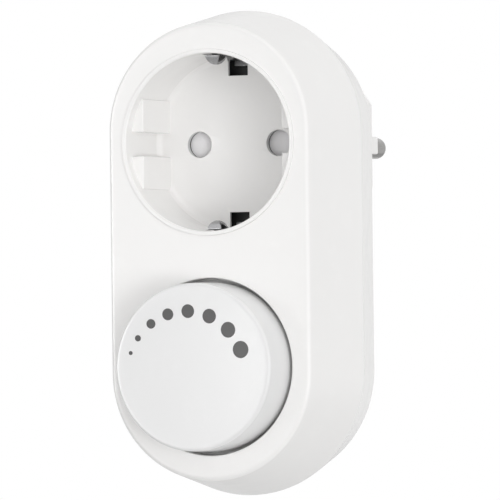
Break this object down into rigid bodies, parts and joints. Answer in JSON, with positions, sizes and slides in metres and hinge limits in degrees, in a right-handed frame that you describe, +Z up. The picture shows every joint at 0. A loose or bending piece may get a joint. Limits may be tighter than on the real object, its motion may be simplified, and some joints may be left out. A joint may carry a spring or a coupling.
{
  "type": "plug-in dimmer",
  "caption": "Upright round-ended plug-in dimmer in white plastic: earthed round-pin socket above, large rotary dimmer knob below, matching earthed plug on the back.",
  "frame": {"origin": "centre of the plug's face, between the two pins", "axes": "X to the right seen from the front, Y from the front into the wall along the pins, Z up"},
  "size_m": [0.0552, 0.0851, 0.1074],
  "materials": {
    "white_plastic": "satin white moulding",
    "pale_plastic": "satin",
    "dark_plastic": "matte",
    "grey_plastic": "matte",
    "pot_plastic": "matte",
    "board": "satin",
    "capacitor_box": "satin",
    "resistor": "satin",
    "brown_wire": "satin",
    "black_wire": "satin",
    "blue_wire": "satin",
    "spring_steel": "brushed",
    "nickel": "bright nickel",
    "contact_brass": "satin",
    "copper": "enamelled",
    "ferrite": "matte",
    "aluminium": "satin",
    "fuse_glass": "clear",
    "zinc_screw": "zinc plated"
  },
  "bodies": {
    "housing": {"front_shell": "white_plastic", "rear_shell": "white_plastic", "plug_base": "white_plastic", "socket_insert": "white_plastic", "shutter_spring": "spring_steel", "contact_carrier": "dark_plastic", "live_contact": "contact_brass", "neutral_contact": "contact_brass", "socket_earth_clip": "spring_steel", "earth_link": "spring_steel", "plug_earth_strap": "spring_steel", "live_pin": "nickel", "neutral_pin": "nickel", "pot_body": "pot_plastic", "pot_nut": "spring_steel", "pot_terminals": "spring_steel", "circuit_board": "board", "choke_core": "ferrite", "choke_winding": "copper", "capacitor": "capacitor_box", "triac": "dark_plastic", "heat_sink": "aluminium", "fuse_tube": "fuse_glass", "fuse_caps": "nickel", "fuse_clips": "contact_brass", "driver_chip": "dark_plastic", "resistors": "resistor", "line_wire": "brown_wire", "load_wire": "black_wire", "neutral_wire": "blue_wire", "housing_screws": "zinc_screw"},
    "knob": {"dimmer_knob": "white_plastic", "pot_shaft": "grey_plastic"},
    "shutter": {"safety_shutter": "pale_plastic"}
  },
  "joints": [
    {"name": "knob_turn", "type": "hinge", "parent": "housing", "child": "knob", "pos_m": [0, -0.0565, -0.0492], "axis": [0, 1, 0], "range_deg": [-140, 140]},
    {"name": "shutter_turn", "type": "hinge", "parent": "housing", "child": "shutter", "pos_m": [0, -0.03625, 0], "axis": [0, 1, 0], "range_deg": [0, 42], "stiffness_Nm_per_rad": 0.003}
  ]
}
